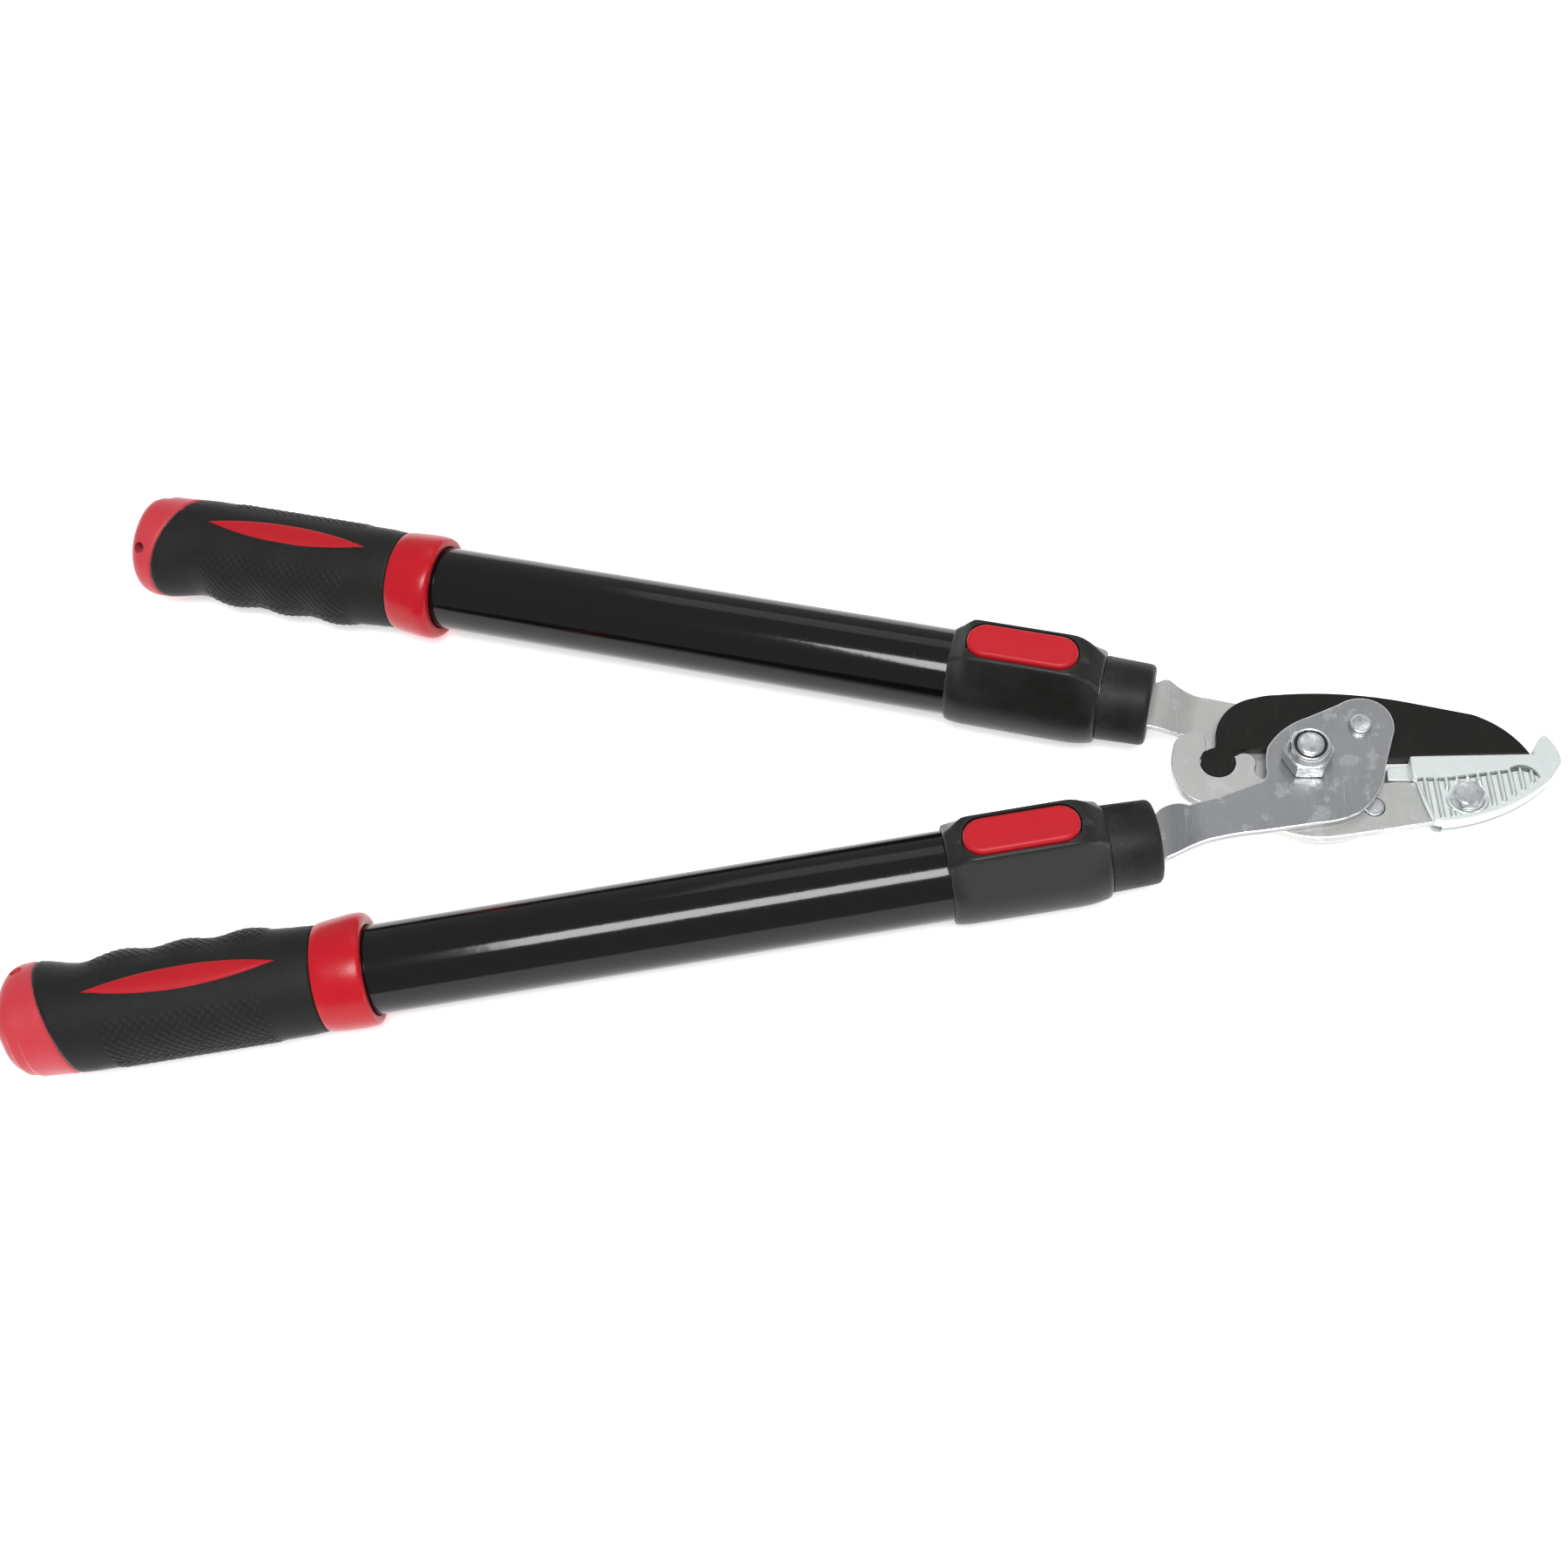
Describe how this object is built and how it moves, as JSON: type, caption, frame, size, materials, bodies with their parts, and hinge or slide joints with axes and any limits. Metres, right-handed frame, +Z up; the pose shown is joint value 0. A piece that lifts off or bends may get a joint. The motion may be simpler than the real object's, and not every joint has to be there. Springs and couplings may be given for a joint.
{
  "type": "anvil loppers",
  "caption": "Compound-action anvil loppers: a coated blade swings in a hooked socket and shuts on a cast anvil; telescopic tubular handles with lock buttons and two-colour grips.",
  "frame": {"origin": "centre of the footprint of the tool lying flat, jaws shut and tubes slid in, on the surface that it lies on", "axes": "+X from the grips to the tip, +Y to the handle that is fixed to the anvil, +Z up, on the side of the pivot nut and lock buttons"},
  "size_m": [0.5966, 0.2752, 0.0499],
  "materials": {
    "zinc_fastener": "bright zinc plate on small fasteners",
    "plated_steel": "zinc-plated steel plate, fine scratches, bright bevelled edges",
    "coated_blade": "matte dark non-stick coating on steel",
    "cast_alloy": "pale satin cast alloy",
    "black_plastic": "satin moulded nylon",
    "black_lacquer": "gloss black lacquer on steel tube",
    "drawn_aluminium": "drawn aluminium with fine lengthwise lines",
    "nylon": "natural nylon, dark",
    "grip_rubber": "matte soft-touch rubber with knurled patches",
    "grip_red": "satin red moulding",
    "button_red": "semi-gloss red moulding"
  },
  "bodies": {
    "anvil_head": {"upper_arm": "plated_steel", "anvil_plate": "plated_steel", "anvil": "cast_alloy", "anvil_bolt": "zinc_fastener", "anvil_nut": "zinc_fastener", "pivot_bolt": "zinc_fastener", "pivot_nut": "zinc_fastener", "nut_insert": "nylon", "plate_rivet": "zinc_fastener", "upper_ferrule": "black_plastic", "upper_inner_tube": "drawn_aluminium", "upper_shank_pin": "zinc_fastener", "upper_slide_bush": "nylon"},
    "lever": {"lever_arm": "plated_steel", "drive_pin": "zinc_fastener", "lower_ferrule": "black_plastic", "lower_inner_tube": "drawn_aluminium", "lower_shank_pin": "zinc_fastener", "lower_slide_bush": "nylon"},
    "blade": {"blade": "coated_blade"},
    "upper_sleeve": {"upper_outer_tube": "black_lacquer", "upper_lock_housing": "black_plastic", "upper_grip_core": "grip_red", "upper_grip_cover": "grip_rubber", "upper_button_pin": "zinc_fastener", "upper_button_spring": "zinc_fastener"},
    "upper_button": {"upper_lock_button": "button_red", "upper_lock_peg": "zinc_fastener"},
    "lower_sleeve": {"lower_outer_tube": "black_lacquer", "lower_lock_housing": "black_plastic", "lower_grip_core": "grip_red", "lower_grip_cover": "grip_rubber", "lower_button_pin": "zinc_fastener", "lower_button_spring": "zinc_fastener"},
    "lower_button": {"lower_lock_button": "button_red", "lower_lock_peg": "zinc_fastener"}
  },
  "joints": [
    {"name": "lever_hinge", "type": "hinge", "parent": "anvil_head", "child": "lever", "pos_m": [0.2047, 0.003, 0.0216], "axis": [0, 0, 1], "range_deg": [0, 48]},
    {"name": "blade_hinge", "type": "hinge", "parent": "anvil_head", "child": "blade", "pos_m": [0.1716, 0.0035, 0.0216], "axis": [0, 0, 1], "range_deg": [0, 20.3]},
    {"name": "upper_slide", "type": "slide", "parent": "anvil_head", "child": "upper_sleeve", "axis": [-0.9806, 0.1961, 0], "range_m": [0, 0.28]},
    {"name": "upper_rocker", "type": "hinge", "parent": "upper_sleeve", "child": "upper_button", "pos_m": [0.09459, 0.04091, 0.0446], "axis": [-0.1961, -0.9806, 0], "range_deg": [0, 5], "stiffness_Nm_per_rad": 0.6, "springref_deg": -2.86, "deforming": ["upper_button_spring"]},
    {"name": "lower_slide", "type": "slide", "parent": "lever", "child": "lower_sleeve", "axis": [-0.9806, -0.1961, 0], "range_m": [0, 0.28]},
    {"name": "lower_rocker", "type": "hinge", "parent": "lower_sleeve", "child": "lower_button", "pos_m": [0.09459, -0.04091, 0.0446], "axis": [0.1961, -0.9806, 0], "range_deg": [0, 5], "stiffness_Nm_per_rad": 0.6, "springref_deg": -2.86, "deforming": ["lower_button_spring"]}
  ],
  "couplings": [
    {"joint": "blade_hinge", "follows": "lever_hinge", "ratio": 0.421}
  ]
}
